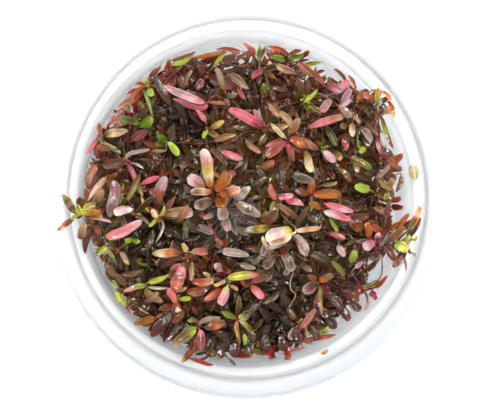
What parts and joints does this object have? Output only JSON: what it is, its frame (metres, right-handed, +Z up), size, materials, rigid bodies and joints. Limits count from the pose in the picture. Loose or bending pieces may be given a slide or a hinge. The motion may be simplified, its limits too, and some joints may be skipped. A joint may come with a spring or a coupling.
{
  "type": "tissue culture cup of aquarium plants",
  "caption": "Open clear plastic tissue culture cup packed with blood red dwarf rotala plantlets standing in a disc of nutrient gel.",
  "frame": {"origin": "centre of the cup's flat underside", "axes": "+Z up along the cup's axis, out of its open mouth; +Y is the top of the reference view from above and +X its right"},
  "size_m": [0.1, 0.1, 0.0638],
  "materials": {
    "clear_plastic": "clear, slightly frosted moulded plastic",
    "gel": "translucent off-white agar gel",
    "rotala_leaf": "wet, glossy maroon, pink, orange and olive leaf tissue",
    "shed_leaf": "pale cream leaf tissue"
  },
  "bodies": {
    "root": {"cup": "clear_plastic", "nutrient_gel": "gel", "plantlet_01": "rotala_leaf", "plantlet_02": "rotala_leaf", "plantlet_03": "rotala_leaf", "plantlet_04": "rotala_leaf", "plantlet_05": "rotala_leaf", "plantlet_06": "rotala_leaf", "plantlet_07": "rotala_leaf", "plantlet_08": "rotala_leaf", "plantlet_09": "rotala_leaf", "plantlet_10": "rotala_leaf", "plantlet_11": "rotala_leaf", "plantlet_12": "rotala_leaf", "plantlet_13": "rotala_leaf", "plantlet_14": "rotala_leaf", "plantlet_15": "rotala_leaf", "plantlet_16": "rotala_leaf", "plantlet_17": "rotala_leaf", "plantlet_18": "rotala_leaf", "plantlet_19": "rotala_leaf", "plantlet_20": "rotala_leaf", "plantlet_21": "rotala_leaf", "plantlet_22": "rotala_leaf", "plantlet_23": "rotala_leaf", "plantlet_24": "rotala_leaf", "plantlet_25": "rotala_leaf", "plantlet_26": "rotala_leaf", "plantlet_27": "rotala_leaf", "plantlet_28": "rotala_leaf", "plantlet_29": "rotala_leaf", "plantlet_30": "rotala_leaf", "plantlet_31": "rotala_leaf", "plantlet_32": "rotala_leaf", "plantlet_33": "rotala_leaf", "plantlet_34": "rotala_leaf", "plantlet_35": "rotala_leaf", "plantlet_36": "rotala_leaf", "plantlet_37": "rotala_leaf", "plantlet_38": "rotala_leaf", "plantlet_39": "rotala_leaf", "plantlet_40": "rotala_leaf", "plantlet_41": "rotala_leaf", "plantlet_42": "rotala_leaf", "plantlet_43": "rotala_leaf", "plantlet_44": "rotala_leaf", "plantlet_45": "rotala_leaf", "plantlet_46": "rotala_leaf", "plantlet_47": "rotala_leaf", "plantlet_48": "rotala_leaf", "plantlet_49": "rotala_leaf", "plantlet_50": "rotala_leaf", "plantlet_51": "rotala_leaf", "plantlet_52": "rotala_leaf", "plantlet_53": "rotala_leaf", "plantlet_54": "rotala_leaf", "loose_leaf_bit": "shed_leaf", "loose_stem_bit": "shed_leaf"}
  },
  "joints": []
}
